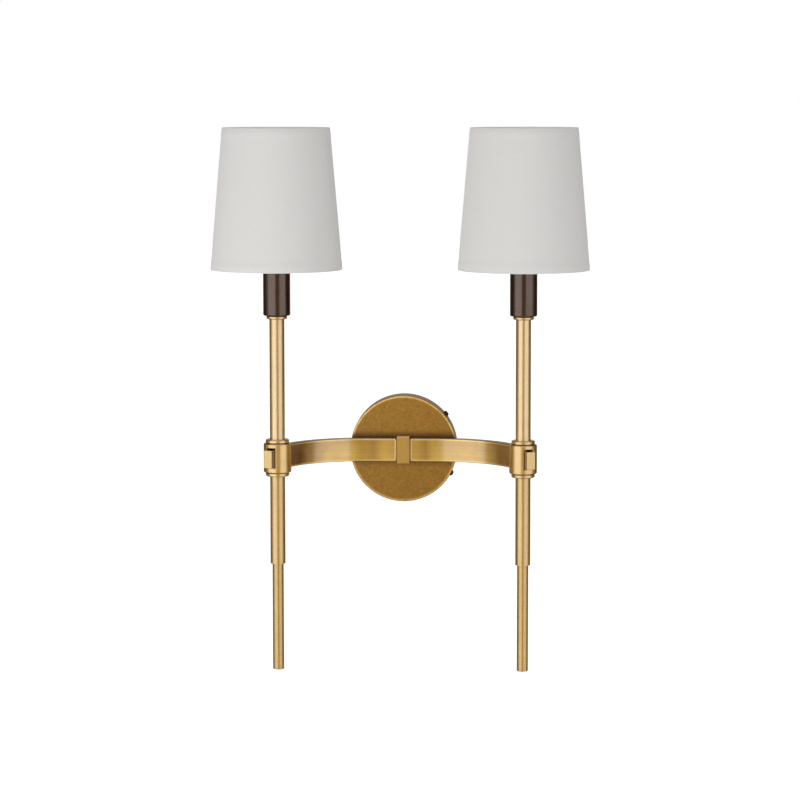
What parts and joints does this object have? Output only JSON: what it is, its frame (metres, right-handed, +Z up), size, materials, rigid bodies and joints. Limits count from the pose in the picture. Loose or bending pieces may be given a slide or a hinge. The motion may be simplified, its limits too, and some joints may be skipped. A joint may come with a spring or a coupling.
{
  "type": "double arm wall sconce",
  "caption": "Wall light with a round canopy, curved flat arms, tall vertical brass stems, dark bronze cups and tapered white drum shades.",
  "frame": {"origin": "centre of the mounting pan's back, on the wall, midway between the box screws", "axes": "+X to the right seen from the room, +Y into the wall, +Z up along the stems"},
  "size_m": [0.3964, 0.1728, 0.5723],
  "materials": {
    "aged_brass": "antique, satin",
    "brushed_brass": "brushed along the arm",
    "dark_bronze": "dark bronze, semi-gloss",
    "shade_fabric": "plain fabric on a stiff backing",
    "frame_wire": "white enamel",
    "zinc_steel": "zinc plated",
    "black_screw": "black oxide",
    "green_screw": "green",
    "socket_plastic": "moulded",
    "shell_brass": "plain",
    "bulb_glass": "frosted",
    "bulb_metal": "plain",
    "black_wire": "insulation",
    "white_wire": "insulation",
    "wire_nut": "moulded"
  },
  "bodies": {
    "fixture": {"canopy": "aged_brass", "canopy_nipple": "zinc_steel", "centre_block": "aged_brass", "ground_screw": "green_screw", "left_arm": "brushed_brass", "left_arm_tenon": "brushed_brass", "left_hot_wire": "black_wire", "left_knuckle_barrel": "aged_brass", "left_knuckle_nipple": "zinc_steel", "left_lower_collar": "aged_brass", "left_lower_rod": "aged_brass", "left_lower_stem": "aged_brass", "left_neutral_wire": "white_wire", "left_screw_shell": "shell_brass", "left_shade_nut": "socket_plastic", "left_socket_body": "socket_plastic", "left_socket_contact": "shell_brass", "left_socket_cup": "dark_bronze", "left_socket_nipple": "zinc_steel", "left_stem_flange": "aged_brass", "left_upper_collar": "aged_brass", "left_upper_stem": "aged_brass", "lock_washer": "zinc_steel", "locknut": "zinc_steel", "mounting_pan": "zinc_steel", "right_arm": "brushed_brass", "right_arm_tenon": "brushed_brass", "right_hot_wire": "black_wire", "right_knuckle_barrel": "aged_brass", "right_knuckle_nipple": "zinc_steel", "right_lower_collar": "aged_brass", "right_lower_rod": "aged_brass", "right_lower_stem": "aged_brass", "right_neutral_wire": "white_wire", "right_screw_shell": "shell_brass", "right_shade_nut": "socket_plastic", "right_socket_body": "socket_plastic", "right_socket_contact": "shell_brass", "right_socket_cup": "dark_bronze", "right_socket_nipple": "zinc_steel", "right_stem_flange": "aged_brass", "right_upper_collar": "aged_brass", "right_upper_stem": "aged_brass", "side_screws": "black_screw", "wire_nuts": "wire_nut"},
    "left_shade": {"left_shade_shell": "shade_fabric", "left_shade_top_ring": "frame_wire", "left_shade_spider": "frame_wire"},
    "left_bulb": {"left_bulb_glass": "bulb_glass", "left_bulb_base": "bulb_metal", "left_bulb_tip": "bulb_metal"},
    "right_shade": {"right_shade_shell": "shade_fabric", "right_shade_top_ring": "frame_wire", "right_shade_spider": "frame_wire"},
    "right_bulb": {"right_bulb_glass": "bulb_glass", "right_bulb_base": "bulb_metal", "right_bulb_tip": "bulb_metal"}
  },
  "joints": [
    {"name": "left_shade_turn", "type": "hinge", "parent": "fixture", "child": "left_shade", "pos_m": [-0.1292, -0.10386, 0.2121], "axis": [0, 0, 1], "continuous": true},
    {"name": "left_bulb_lift", "type": "slide", "parent": "fixture", "child": "left_bulb", "axis": [0, 0, 1], "range_m": [0, 0.022]},
    {"name": "right_shade_turn", "type": "hinge", "parent": "fixture", "child": "right_shade", "pos_m": [0.1292, -0.10386, 0.2121], "axis": [0, 0, 1], "continuous": true},
    {"name": "right_bulb_lift", "type": "slide", "parent": "fixture", "child": "right_bulb", "axis": [0, 0, 1], "range_m": [0, 0.022]}
  ]
}
